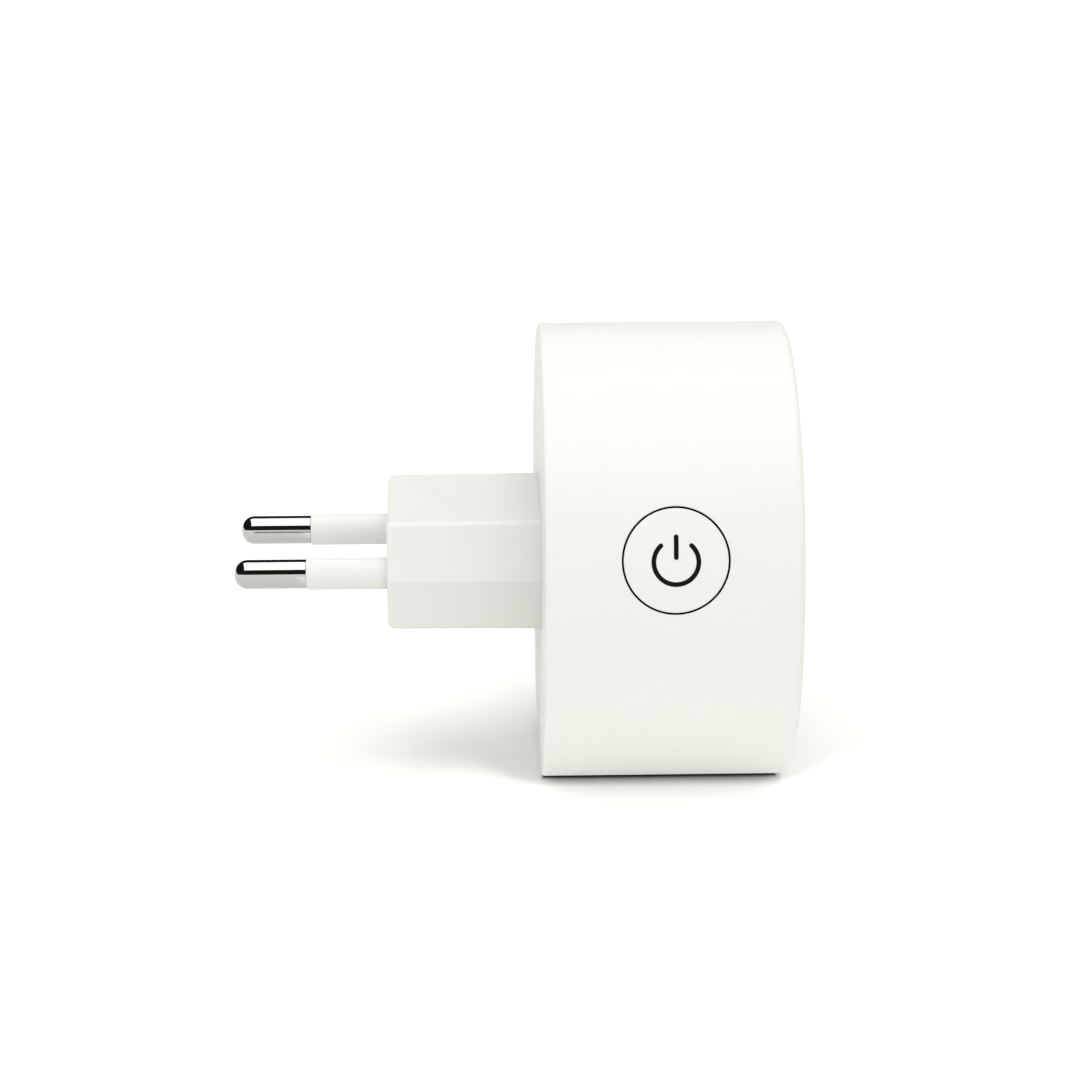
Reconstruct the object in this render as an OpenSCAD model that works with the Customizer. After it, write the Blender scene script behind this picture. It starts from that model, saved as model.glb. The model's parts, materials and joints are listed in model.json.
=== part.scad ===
// Round smart plug: a two-pin plug on a six-sided boss, a switched outlet in the
// front, and a power button in the side wall. Millimetres.
// Origin: centre of the back face, on the line midway between the pins.
// +X runs out of the outlet, the pins point to -X, the button faces -Y, +Z is up.

/* [Body] */
// Diameter of the round body
body_d = 63; // [63:0.5:66]
// Thickness of the body along the plug's axis
body_t = 34; // [34:0.5:36]
// Thickness of the housing's wall
wall = 2.2; // [2.2:0.1:2.4]
// Edge radius round the outlet face
front_edge_r = 1; // [1:0.1:1.8]
// Edge radius round the back face
back_edge_r = 0.4; // [0.4:0.1:1.2]
// Width of the flat foot under the body
foot_w = 8; // [6:1:10]

/* [Boss] */
// Length of the boss behind the back face
boss_l = 21; // [19:0.5:22]
// Width of the boss from ridge to ridge
boss_w = 27.2; // [27.2:0.2:29]
// Width of the flat top and bottom of the boss
boss_flat_w = 22.4; // [22:0.2:23]
// Height of the boss
boss_h = 15.6; // [15.6:0.2:17]
// Thickness of the boss's walls
boss_wall = 1.5; // [1.4:0.1:1.5]
// Rounding of the boss's edges
boss_edge_r = 0.9; // [0.5:0.1:1.2]

/* [Pins] */
// Distance between the two pins
pin_pitch = 19; // [18.6:0.2:19]
// Diameter of the bare metal
pin_d = 4; // [3.9:0.05:4.05]
// Length of the bare metal, with its round tip
pin_bare_l = 9.8; // [9:0.1:10]
// Diameter of the insulating sleeve
sleeve_d = 4.35; // [4.35:0.05:4.4]
// Length of the sleeve outside the boss
sleeve_l = 11; // [9:0.1:11.5]

/* [Outlet] */
// Diameter of the recess that takes a plug
recess_d = 39.5; // [39:0.1:39.8]
// Depth of the recess
recess_depth = 15; // [14:0.1:15]
// Diameter of each pin hole
hole_d = 5.2; // [5:0.1:5.3]
// Angle that the shutter turns to open the pin holes
shutter_turn = 38; // [38:1:40]

/* [Button] */
// Diameter of the round hole in the side wall
button_hole_d = 14.2; // [13:0.2:14.4]
// Gap all round the button
button_gap = 0.25; // [0.15:0.05:0.3]
// How far the button's axis is raised above the plane of the pins
button_raise = 15.8; // [10:0.2:22]
// Outer diameter of the power symbol's ring
icon_d = 6.5; // [5:0.1:7]
// Line width of the power symbol
icon_line = 0.63; // [0.4:0.01:0.8]

/* [Circuit boards] */
// Thickness of the main board
board_t = 1.6; // [1.2:0.1:1.6]
// Gap between the back wall and the main board
board_lift = 1.2; // [1:0.1:1.2]
// Length of the relay
relay_l = 20.5; // [19:0.5:20.5]
// Width of the relay, along the board
relay_w = 15.3; // [14.5:0.1:15.3]
// Height of the relay above the board
relay_h = 7.2; // [6.6:0.1:7.2]

/* [Hidden] */
$fn = 96;

// Small amounts: an overrun for clean cuts, and the gap of a loose fit
over = 1;
loose = 0.1;

// Body
body_r = body_d / 2;
inner_r = body_r - wall;
foot_cut = body_r - sqrt(body_r * body_r - foot_w * foot_w / 4);

// Boss: half sizes, and the length of its slanted side
ridge_y = boss_w / 2;
flat_y = boss_flat_w / 2;
boss_z = boss_h / 2;
slant_y = ridge_y - flat_y;
slant_l = sqrt(boss_z * boss_z + slant_y * slant_y);
boss_end_t = 3;
boss_inner_x = -boss_l + boss_end_t;
boss_draft = 0.12;
boss_flange_t = 1;
boss_flange_w = 1.2;

// Pins
pin_y = pin_pitch / 2;
pin_tip_r = 1.8;
pin_core_r = 1.55;
pin_head_r = 2.4;
pin_head_t = 1.2;
pin_tail_r = 1.2;
pin_tail_l = 1;
bare_x = -boss_l - sleeve_l;
tip_x = bare_x - pin_bare_l;
pin_head_x = boss_inner_x + pin_head_t;

// Leads from the pins to the main board
lead_t = 0.6;
lead_y = [7.0, 9.4];
lead_z = -5.6;
lug_r = 2.3;

// Front cover and its snap ring
cover_t = 2;
cover_r = inner_r - loose;
skirt_t = 1.5;
skirt_x = 28;
ledge_t = 1;
ledge_w = 1.3;
snap_x = 30;
snap_r = 0.3;
recess_r = recess_d / 2;
recess_wall = 1.8;
recess_edge_r = 1;
cup_back_x = 14.5;

// Outlet insert, contact carrier and shutter, from front to back
floor_x = body_t - recess_depth;
floor_t = 2;
insert_back_x = floor_x - floor_t;
insert_r = recess_r - 0.05;
hole_chamfer = 0.4;
rest_w = 1.55;
rest_t = 1.5;
spigot_r = 1.5;
boss_post_z = 13;
boss_post_r = 2.3;
carrier_t = 1.8;
carrier_x = 12.6;
carrier_front_x = carrier_x + carrier_t;
carrier_r = 16;
shutter_x = carrier_front_x + 0.3;
shutter_t = 2.1;
shutter_r = 12.7;
shutter_half = 20;
stop_r = 0.6;
stop_at = 8;
stop_gap = 5.5;

// Outlet contacts
contact_r = 3;
contact_inner_r = 2.5;
contact_grip_r = 2.05;
contact_x = [3.4, 14.2];

// Screws
screw_r = 0.8;
screw_head_r = 1.9;
screw_head_t = 1.3;
screw_at = 24.5;
screw_angles = [90, 210, 330];

// Main board
board_x = wall + board_lift;
board_top = board_x + board_t;
board_r = 28.4;
board_slot = [26.8, 7.8];

// Relay, in its place on the main board
relay_z = 6.4;
relay_wall = 0.7;
relay_base_t = 1.2;
relay_floor = board_top + relay_base_t;
coil_y = -4;
coil_x = relay_floor + 2.5;
coil_z = [relay_z + 3, relay_z + 11];
yoke_y = 0.2;
yoke_t = 0.8;
armature_z = coil_z[1] + 0.85;
armature_rivet_h = 0.5;

// Transformer
trafo_z = -14;
trafo_core = [4, 13, 10];
trafo_leg = 3;
trafo_winding = [7.2, 9.8, 6.8];

// Parts that stand round the outlet's cup
ring_at = 24.9;
bulk_r = 3.15;
bulk_h = 12;

// Radio board
radio_y = 22.2;
radio_t = 1;
radio_size = [19, 16];

// Button, measured outwards from the body's axis
button_r = button_hole_d / 2 - button_gap;
button_foot = 27.2;
button_flange_r = 7.8;
button_flange_t = 0.8;
button_pocket_r = 5.4;
button_pocket_top = 29.9;
button_stem_r = 1.5;
icon_depth = 0.6;
icon_drop = 0.17;
icon_gap = 43;
icon_bar_top = 3.3;
icon_bar_foot = 0.6;

// Button board and its switch, measured outwards from the body's axis
side_board_w = 22.3;
side_board_t = 1;
side_board_top = side_board_w + side_board_t;
switch_size = 6;
switch_top = 26.4;
switch_hole_r = 1.75;
chamber_r = 2.5;
chamber_w = [24, 25.4];
plunger_r = 1.65;
plunger_top = 27.15;

// Runs a shape that stands on Z along X instead
module along_x() {
    rotate([0, 90, 0]) children();
}

// Lifts an outline drawn in (Y, Z) and its extrusion to start at x
module facing_x(x) {
    translate([x, 0, 0]) rotate([90, 0, 90]) children();
}

// Local frame of the button: Z is the distance outwards from the body's axis
module at_button() {
    translate([body_t / 2, 0, 0]) rotate([90 - button_raise, 0, 0]) children();
}

// Disc or tube along X
module disc_x(x0, x1, r, hole = 0) {
    translate([x0, 0, 0]) along_x() difference() {
        cylinder(h = x1 - x0, r = r);
        if (hole > 0) translate([0, 0, -over]) cylinder(h = x1 - x0 + 2 * over, r = hole);
    }
}

// Corners of the boss's section, grown or shrunk evenly on every side
function boss_section(grow) =
    let (ridge = ridge_y + grow * slant_l / boss_z)
    let (flat = ridge_y - (slant_y * (boss_z + grow) - grow * slant_l) / boss_z)
    let (top = boss_z + grow)
    [[ridge, 0], [flat, top], [-flat, top], [-ridge, 0], [-flat, -top], [flat, -top]];

// Wire along a list of points, as one closed tube
module wire(path, r, sides) {
    last = len(path) - 1;
    rings = [for (i = [0:last])
        let (ahead = path[min(i + 1, last)] - path[max(i - 1, 0)])
        let (dir = ahead / norm(ahead))
        let (side = cross(dir, [1, 0, 0]) / norm(cross(dir, [1, 0, 0])))
        let (up = cross(side, dir))
        [for (k = [0:sides - 1])
            path[i] + r * (side * cos(360 * k / sides) + up * sin(360 * k / sides))]];
    points = [for (ring = rings) each ring];
    walls = [for (i = [0:last - 1], k = [0:sides - 1])
        let (next = (k + 1) % sides)
        [i * sides + k, (i + 1) * sides + k, (i + 1) * sides + next, i * sides + next]];
    start = [for (k = [0:sides - 1]) k];
    end = [for (k = [sides - 1:-1:0]) last * sides + k];
    polyhedron(points = points, faces = concat(walls, [start, end]), convexity = 4);
}

// Pan-head screw along X: the head's face looks to side, the shank runs the other way
module screw(side, head_r, head_t, shank_l) {
    difference() {
        union() {
            mirror([side < 0 ? 1 : 0, 0, 0]) disc_x(0, head_t, head_r);
            mirror([side < 0 ? 1 : 0, 0, 0]) disc_x(-shank_l, 0, screw_r);
        }
        for (turn = [0, 90]) {
            rotate([turn, 0, 0]) mirror([side < 0 ? 1 : 0, 0, 0])
                translate([head_t - 0.7, -head_r * 0.6, -0.25]) cube([over, head_r * 1.2, 0.5]);
        }
    }
}

// --- Shells ---------------------------------------------------------------

// Section of the solid body, from its axis outwards
module body_profile() {
    translate([0, back_edge_r]) square([body_r, body_t - back_edge_r - front_edge_r]);
    square([body_r - back_edge_r, body_t / 2]);
    translate([0, body_t / 2]) square([body_r - front_edge_r, body_t / 2]);
    translate([body_r - back_edge_r, back_edge_r]) circle(r = back_edge_r);
    translate([body_r - front_edge_r, body_t - front_edge_r]) circle(r = front_edge_r);
}

// Outline of the boss with its rounded edges, grown evenly on every side
module boss_outline(grow) {
    corners = boss_section(grow - boss_edge_r);
    count = len(corners);
    edge_ends = [for (i = [0:count - 1])
        let (from = corners[i])
        let (to = corners[(i + 1) % count])
        let (outwards = [to[1] - from[1], from[0] - to[0]] / norm(to - from))
        each [from + boss_edge_r * outwards, to + boss_edge_r * outwards]];
    polygon(edge_ends);
    for (p = corners) {
        translate(p) circle(r = boss_edge_r);
    }
}

module rear_housing() {
    post_r = 2.6;
    thread_l = 2.4;
    color("whitesmoke") difference() {
        union() {
            along_x() rotate_extrude() difference() {
                body_profile();
                translate([-over, wall]) square([inner_r + over, body_t]);
                translate([inner_r, snap_x]) circle(r = snap_r + loose);
            }
            disc_x(skirt_x - ledge_t, skirt_x, inner_r + over / 2, inner_r - ledge_w);
            for (a = screw_angles) {
                rotate([a, 0, 0]) translate([0, screw_at, 0]) disc_x(wall / 2, board_x, post_r);
            }
        }
        facing_x(-over) linear_extrude(height = wall + 2 * over) boss_outline(0);
        for (a = screw_angles) {
            rotate([a, 0, 0]) translate([0, screw_at, 0])
                disc_x(board_x - thread_l, board_x + over, screw_r);
        }
        at_button() translate([0, 0, button_foot]) cylinder(h = wall * 3, r = button_hole_d / 2);
        translate([-over, -body_r, -body_r - over]) cube([body_t + 2 * over, body_d, foot_cut + over]);
    }
}

// Boss that holds the pins, put in from inside until its flange meets the back wall
module plug_boss() {
    facets = 32;
    color("whitesmoke") difference() {
        union() {
            hull() {
                for (p = boss_section(-boss_edge_r - boss_draft)) {
                    translate([boss_edge_r - boss_l, p[0], p[1]])
                        sphere(r = boss_edge_r, $fn = facets);
                }
                for (p = boss_section(-boss_edge_r)) {
                    translate([-over / 2, p[0], p[1]]) along_x()
                        cylinder(h = over / 2, r = boss_edge_r, $fn = facets);
                }
            }
            facing_x(0) linear_extrude(height = wall) boss_outline(0);
            facing_x(wall) linear_extrude(height = boss_flange_t) boss_outline(boss_flange_w);
        }
        facing_x(boss_inner_x)
            linear_extrude(height = wall + boss_flange_t + over - boss_inner_x)
                polygon(boss_section(-boss_wall));
        for (side = [-1, 1]) {
            translate([0, side * pin_y, 0])
                disc_x(-boss_l - over, boss_inner_x + over, sleeve_d / 2);
        }
    }
}

module front_cover() {
    pad = [8, 6, 1];
    color("whitesmoke") {
        along_x() rotate_extrude() {
            difference() {
                union() {
                    translate([recess_r, cup_back_x]) square([recess_wall, body_t - cup_back_x]);
                    translate([recess_r, body_t - cover_t]) square([cover_r - recess_r, cover_t]);
                }
                difference() {
                    translate([recess_r - over, body_t - recess_edge_r])
                        square([recess_edge_r + over, recess_edge_r + over]);
                    translate([recess_r + recess_edge_r, body_t - recess_edge_r])
                        circle(r = recess_edge_r);
                }
            }
            translate([cover_r - skirt_t, skirt_x]) square([skirt_t, body_t - cover_t / 2 - skirt_x]);
            translate([cover_r, snap_x]) circle(r = snap_r);
            translate([recess_r - rest_w, insert_back_x - rest_t]) square([rest_w + 0.5, rest_t]);
        }
        at_button() translate([-1, -pad[1] / 2, side_board_w - pad[2] - loose]) cube(pad);
    }
}

module outlet_insert() {
    color("white") difference() {
        union() {
            disc_x(insert_back_x, floor_x, insert_r);
            disc_x(carrier_front_x + loose, insert_back_x + over / 2, spigot_r);
            for (side = [-1, 1]) {
                translate([0, 0, side * boss_post_z])
                    disc_x(carrier_front_x, insert_back_x + over / 2, boss_post_r);
                for (a = [-shutter_half - stop_gap, shutter_turn + shutter_half + stop_gap]) {
                    rotate([a, 0, 0]) translate([0, side * stop_at, 0])
                        disc_x(carrier_front_x + loose, insert_back_x + over / 2, stop_r);
                }
            }
        }
        for (side = [-1, 1]) {
            translate([0, side * pin_y, 0]) {
                disc_x(insert_back_x - over, floor_x + over, hole_d / 2);
                translate([floor_x - hole_chamfer, 0, 0]) along_x()
                    cylinder(h = hole_chamfer * 2, r1 = hole_d / 2, r2 = hole_d / 2 + hole_chamfer * 2);
            }
            translate([0, 0, side * boss_post_z])
                disc_x(carrier_front_x - over, floor_x - 0.8, screw_r);
        }
    }
}

module contact_carrier() {
    head_seat = 1;
    color("gainsboro") difference() {
        disc_x(carrier_x, carrier_front_x, carrier_r);
        for (side = [-1, 1]) {
            translate([0, side * pin_y, 0])
                disc_x(carrier_x - over, carrier_front_x + over, contact_r + loose);
            translate([0, 0, side * boss_post_z]) {
                disc_x(carrier_x - over, carrier_x + head_seat, screw_head_r);
                disc_x(carrier_x, carrier_front_x + over, screw_r + 0.2);
            }
        }
    }
}

module carrier_screws() {
    head_t = 1;
    color("silver") for (side = [-1, 1]) {
        translate([carrier_x + head_t, 0, side * boss_post_z])
            screw(-1, screw_head_r - loose, head_t, floor_x - 1 - carrier_x - head_t);
    }
}

// --- Shutter --------------------------------------------------------------

module shutter() {
    pocket_r = 3.1;
    reach = shutter_r * 2;
    color("white") difference() {
        facing_x(shutter_x) linear_extrude(height = shutter_t) difference() {
            union() {
                circle(r = pocket_r + 1.1);
                for (side = [0, 180]) {
                    rotate(side) intersection() {
                        circle(r = shutter_r);
                        polygon([[0, 0], reach * [cos(shutter_half), -sin(shutter_half)],
                                 reach * [cos(shutter_half), sin(shutter_half)]]);
                    }
                }
            }
            circle(r = spigot_r + 0.05);
        }
        disc_x(shutter_x + 1, shutter_x + shutter_t + over, pocket_r);
        for (side = [0, 180]) {
            rotate([side, 0, 0]) translate([0, 5.5, 0]) rotate([-90, 0, 0])
                linear_extrude(height = shutter_r)
                    polygon([[shutter_x + shutter_t + 0.1, -1.5], [shutter_x + shutter_t + 0.1, 6],
                             [shutter_x + 0.5, 6]]);
        }
    }
}

// Wire that runs a little over once round the spigot, in the shutter's pocket
module shutter_spring() {
    wire_r = 0.2;
    coil_r = 2.3;
    turns = 1.25;
    steps = 30;
    x0 = shutter_x + 1 + wire_r + 0.03;
    rise = 0.62;
    path = [for (i = [0:steps])
        let (a = 360 * turns * i / steps)
        [x0 + rise * i / steps, coil_r * cos(a), coil_r * sin(a)]];
    color("silver") wire(path, wire_r, 8);
}

// --- Pins, leads and contacts ---------------------------------------------

module pin() {
    bare_r = pin_d / 2;
    core_l = pin_head_x - bare_x;
    tail_l = pin_head_x + pin_tail_l - tip_x;
    color("silver") translate([tip_x, 0, 0]) along_x() rotate_extrude() {
        translate([bare_r - pin_tip_r, pin_tip_r]) intersection() {
            circle(r = pin_tip_r);
            translate([0, -pin_tip_r]) square(pin_tip_r);
        }
        square([bare_r - pin_tip_r, pin_bare_l]);
        translate([0, pin_tip_r]) square([bare_r, pin_bare_l - pin_tip_r]);
        translate([0, pin_tip_r]) square([pin_core_r, pin_bare_l + core_l - pin_tip_r]);
        translate([0, boss_inner_x - tip_x]) square([pin_head_r, pin_head_t]);
        translate([0, pin_tip_r]) square([pin_tail_r, tail_l - pin_tip_r]);
    }
}

module sleeve() {
    color("whitesmoke") disc_x(bare_x, boss_inner_x, sleeve_d / 2, pin_core_r);
}

module live_pin() {
    translate([0, -pin_y, 0]) pin();
}

module neutral_pin() {
    translate([0, pin_y, 0]) pin();
}

module live_sleeve() {
    translate([0, -pin_y, 0]) sleeve();
}

module neutral_sleeve() {
    translate([0, pin_y, 0]) sleeve();
}

// Strip from a pin's lug, down the boss and through a slot in the main board
module lead() {
    strip_w = lead_y[1] - lead_y[0];
    color("peru") difference() {
        union() {
            translate([0, pin_y, 0]) disc_x(pin_head_x, pin_head_x + lead_t, lug_r);
            translate([pin_head_x, lead_y[0], lead_z - lead_t / 2])
                cube([lead_t, strip_w, -lead_z + lead_t / 2]);
            translate([pin_head_x, lead_y[0], lead_z - lead_t / 2])
                cube([board_top + 0.8 - pin_head_x, strip_w, lead_t]);
        }
        translate([0, pin_y, 0]) disc_x(pin_head_x - over, pin_head_x + over, pin_tail_r);
    }
}

module neutral_lead() {
    lead();
}

module live_lead() {
    mirror([0, 1, 0]) lead();
}

// Split tube that grips a pin, with a flange behind the carrier and a solder tab
module contact() {
    slit = [9, 0.8];
    grip_x = [5, 7];
    flange = [3.9, 0.6];
    tab = [0.8, 4.6, 3];
    color("goldenrod") difference() {
        union() {
            translate([0, pin_y, 0]) {
                disc_x(contact_x[0], contact_x[1], contact_r, contact_inner_r);
                disc_x(grip_x[0], grip_x[1], contact_inner_r + 0.25, contact_grip_r);
                disc_x(carrier_x - flange[1] - loose, carrier_x - loose, flange[0], contact_inner_r);
            }
            translate([board_top, pin_y + contact_r - 0.4, -tab[2] / 2]) cube(tab);
        }
        translate([contact_x[0] - over, pin_y - slit[1] / 2, -contact_r - over])
            cube([slit[0] + over, slit[1], 2 * contact_r + 2 * over]);
    }
}

module neutral_contact() {
    contact();
}

module live_contact() {
    mirror([0, 1, 0]) contact();
}

// --- Main board -----------------------------------------------------------

module main_board() {
    color("seagreen") difference() {
        disc_x(board_x, board_top, board_r);
        translate([board_x - over, -board_slot[0] / 2, -board_slot[1] / 2])
            cube([board_t + 2 * over, board_slot[0], board_slot[1]]);
        for (side = [0, 1]) {
            mirror([0, side, 0]) translate([board_x - over, lead_y[0] - 0.2, lead_z - lead_t / 2 - 0.2])
                cube([board_t + 2 * over, lead_y[1] - lead_y[0] + 0.4, lead_t + 0.4]);
        }
        for (a = screw_angles) {
            rotate([a, 0, 0]) translate([0, screw_at, 0])
                disc_x(board_x - over, board_top + over, screw_r + 0.3);
        }
    }
}

module board_screws() {
    color("silver") for (a = screw_angles) {
        rotate([a, 0, 0]) translate([board_top, screw_at, 0])
            screw(1, screw_head_r, screw_head_t, board_top - board_x + 2.2);
    }
}

// --- Relay ----------------------------------------------------------------

module relay_case() {
    color("royalblue") difference() {
        translate([board_top, -relay_l / 2, relay_z]) cube([relay_h, relay_l, relay_w]);
        translate([board_top - over, relay_wall - relay_l / 2, relay_z + relay_wall])
            cube([relay_h - relay_wall + over, relay_l - 2 * relay_wall, relay_w - 2 * relay_wall]);
    }
}

module relay_base() {
    color("dimgray") translate([board_top, relay_wall - relay_l / 2, relay_z + relay_wall])
        cube([relay_base_t, relay_l - 2 * relay_wall, relay_w - 2 * relay_wall]);
}

module relay_bobbin() {
    flange = [5, 6.4, 0.7];
    barrel_r = 1.5;
    core_r = 1;
    color("white") difference() {
        union() {
            for (z = [coil_z[0], coil_z[1] - flange[2]]) {
                translate([relay_floor, coil_y - flange[1] / 2, z]) cube(flange);
            }
            translate([coil_x, coil_y, coil_z[0]]) cylinder(h = coil_z[1] - coil_z[0], r = barrel_r);
        }
        translate([coil_x, coil_y, coil_z[0] - over])
            cylinder(h = coil_z[1] - coil_z[0] + 2 * over, r = core_r);
    }
}

module relay_winding() {
    flange_t = 0.7;
    coil_r = 2.4;
    barrel_r = 1.5;
    color("peru") translate([coil_x, coil_y, coil_z[0] + flange_t]) difference() {
        cylinder(h = coil_z[1] - coil_z[0] - 2 * flange_t, r = coil_r);
        translate([0, 0, -over]) cylinder(h = coil_z[1] - coil_z[0], r = barrel_r);
    }
}

// Core through the coil and the bent plate beside it that carries the armature
module relay_yoke() {
    plate_w = 4.8;
    foot_t = 0.8;
    core_r = 1;
    pole_r = 1.8;
    pole_t = 0.3;
    air_gap = 0.05;
    plate_h = armature_z - air_gap - coil_z[0] + foot_t;
    color("slategray") {
        translate([relay_floor, coil_y - 2, coil_z[0] - foot_t])
            cube([plate_w, yoke_y + yoke_t - coil_y + 2, foot_t]);
        translate([relay_floor, yoke_y, coil_z[0] - foot_t]) cube([plate_w, yoke_t, plate_h]);
        translate([coil_x, coil_y, coil_z[0] - foot_t / 2])
            cylinder(h = coil_z[1] - coil_z[0] + foot_t / 2 + pole_t / 2, r = core_r);
        translate([coil_x, coil_y, coil_z[1]]) cylinder(h = pole_t, r = pole_r);
    }
}

// Plate that tips on the yoke's edge, with the moving contact at its free end
module relay_armature() {
    free_y = -8.8;
    plate = [4.4, yoke_y + yoke_t - coil_y + 2.6, 0.6];
    spring = [2, coil_y - 2 - free_y, 0.3];
    rivet_r = 0.7;
    color("slategray") {
        translate([coil_x - plate[0] / 2, coil_y - 2.6, armature_z]) cube(plate);
        translate([coil_x - spring[0] / 2, free_y, armature_z + 0.1]) cube(spring);
        translate([coil_x, free_y + 0.9, armature_z - armature_rivet_h / 2])
            cylinder(h = armature_rivet_h, r = rivet_r);
    }
}

// Fixed contact on its terminal, rising from the relay's base
module relay_contact() {
    terminal = [4, 0.5, 3];
    shelf_l = 1.4;
    gap = 0.65;
    top_z = armature_z - armature_rivet_h / 2 - gap;
    color("goldenrod") translate([relay_floor, -8.7, top_z]) {
        translate([0, 0, -terminal[2]]) cube(terminal);
        translate([0, 0, -terminal[1]]) cube([terminal[0], shelf_l, terminal[1]]);
    }
}

// --- Mains and low-voltage parts ------------------------------------------

module transformer_core() {
    limb = 1.5;
    window_w = trafo_core[1] - 2 * limb;
    window = (trafo_core[2] - 2 * limb - trafo_leg) / 2;
    core_x = board_top + (trafo_winding[0] - trafo_core[0]) / 2;
    color("dimgray") difference() {
        translate([core_x, -trafo_core[1] / 2, trafo_z - trafo_core[2] / 2]) cube(trafo_core);
        for (side = [-1, 1]) {
            translate([core_x - over, -window_w / 2,
                       trafo_z - window / 2 + side * (trafo_leg + window) / 2])
                cube([trafo_core[0] + 2 * over, window_w, window]);
        }
    }
}

module transformer_winding() {
    core_x = board_top + (trafo_winding[0] - trafo_core[0]) / 2;
    color("gold") difference() {
        translate([board_top, -trafo_winding[1] / 2, trafo_z - trafo_winding[2] / 2])
            cube(trafo_winding);
        translate([core_x, -trafo_winding[1] / 2 - over, trafo_z - trafo_leg / 2])
            cube([trafo_core[0], trafo_winding[1] + 2 * over, trafo_leg]);
    }
}

// Can standing on the board at an angle round the cup, with a groove near its foot
module capacitor(angle, r, h) {
    groove_r = 0.6;
    groove_x = 1.6;
    dish_r = 3;
    dish_depth = 0.25;
    color("darkslategray") rotate([angle, 0, 0]) translate([board_top, ring_at, 0])
        along_x() rotate_extrude() difference() {
            square([r, h]);
            translate([r + groove_r - 0.35, groove_x]) circle(r = groove_r);
            translate([0, h + dish_r - dish_depth]) circle(r = dish_r);
        }
}

module bulk_capacitor_1() {
    capacitor(-46, bulk_r, bulk_h);
}

module bulk_capacitor_2() {
    capacitor(-64, bulk_r, bulk_h);
}

module output_capacitor() {
    capacitor(-110, 2.5, 9);
}

module varistor() {
    disc_r = 3.6;
    disc_t = 3.4;
    color("steelblue") rotate([-135, 0, 0])
        translate([board_top + disc_r, ring_at - disc_t / 2, 0]) rotate([-90, 0, 0])
            cylinder(h = disc_t, r = disc_r);
}

module fuse_resistor() {
    fuse_r = 1.5;
    fuse_l = 8;
    fuse_at = [-20, -7.5];
    cap_l = 1.8;
    color("darkseagreen") translate([board_top + fuse_r, fuse_at[0], fuse_at[1]])
        rotate([-90, 0, 0]) {
            cylinder(h = fuse_l, r = fuse_r - 0.2);
            for (z = [0, fuse_l - cap_l]) {
                translate([0, 0, z]) cylinder(h = cap_l, r = fuse_r);
            }
        }
}

module bridge_rectifier() {
    bridge_at = [-14.5, -14];
    size = [1.6, 4.8, 4];
    lift = 0.3;
    lead = [0.4, 1, 0.8];
    color("dimgray") translate([board_top, bridge_at[0], bridge_at[1]]) {
        translate([lift, 0, 0]) cube(size);
        for (y = [0.6, size[1] - lead[1] - 0.6]) {
            translate([0, y, -lead[2]]) cube([lead[0], lead[1], size[2] + 2 * lead[2]]);
        }
    }
}

module current_shunt() {
    shunt_at = [11.5, -8.5];
    size = [3, 6, 2];
    strip_t = 0.5;
    color("peru") translate([board_top, shunt_at[0], shunt_at[1]]) difference() {
        cube(size);
        translate([-over, strip_t, -over])
            cube([size[0] - strip_t + over, size[1] - 2 * strip_t, size[2] + 2 * over]);
    }
}

// Power supply, metering and regulator chips
module board_chips() {
    chips = [[[10.5, -14.5], [1.5, 5, 3.9]], [[-17.5, 9], [1.2, 4, 3]], [[12.5, 9], [1, 3, 3]]];
    color("dimgray") for (chip = chips) {
        translate([board_top, chip[0][0], chip[0][1]]) cube(chip[1]);
    }
}

// --- Radio ----------------------------------------------------------------

module radio_board() {
    color("seagreen") translate([board_top, radio_y, -radio_size[1] / 2])
        cube([radio_size[0], radio_t, radio_size[1]]);
}

module shield_can() {
    can = [10, 2.2, 12];
    can_lift = 2;
    sheet = 0.3;
    color("silver") translate([board_top + can_lift, radio_y + radio_t, -can[2] / 2]) difference() {
        cube(can);
        translate([sheet, -over, sheet])
            cube([can[0] - 2 * sheet, can[1] - sheet + over, can[2] - 2 * sheet]);
    }
}

// Flat meander at the free end of the radio board
module antenna_trace() {
    line = 0.6;
    copper_t = 0.1;
    reach = 4.4;
    step = 1.4;
    legs = 9;
    antenna_lift = 13.4;
    z0 = -(legs - 1) * step / 2;
    color("goldenrod") translate([board_top + antenna_lift, radio_y + radio_t, z0]) {
        for (i = [0:legs - 1]) {
            translate([0, 0, i * step]) cube([reach, copper_t, line]);
        }
        for (i = [0:legs - 2]) {
            translate([(i % 2) * (reach - line), 0, i * step]) cube([line, copper_t, step + line]);
        }
    }
}

// --- Button and switch ----------------------------------------------------

// Outline of a generic power mark: an open ring with a bar in its gap
module power_mark() {
    ring_r = (icon_d - icon_line) / 2;
    reach = icon_d;
    difference() {
        circle(r = icon_d / 2);
        circle(r = icon_d / 2 - icon_line);
        polygon([[0, 0], reach * [-sin(icon_gap), cos(icon_gap)],
                 reach * [0, 1.4], reach * [sin(icon_gap), cos(icon_gap)]]);
    }
    for (side = [-1, 1]) {
        translate(ring_r * [side * sin(icon_gap), cos(icon_gap)]) circle(r = icon_line / 2);
    }
    translate([-icon_line / 2, icon_bar_foot]) square([icon_line, icon_bar_top - icon_bar_foot]);
    for (y = [icon_bar_foot, icon_bar_top]) {
        translate([0, y]) circle(r = icon_line / 2);
    }
}

module icon_solid() {
    at_button() translate([0, -icon_drop, body_r - icon_depth])
        linear_extrude(height = icon_depth + over) power_mark();
}

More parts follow.
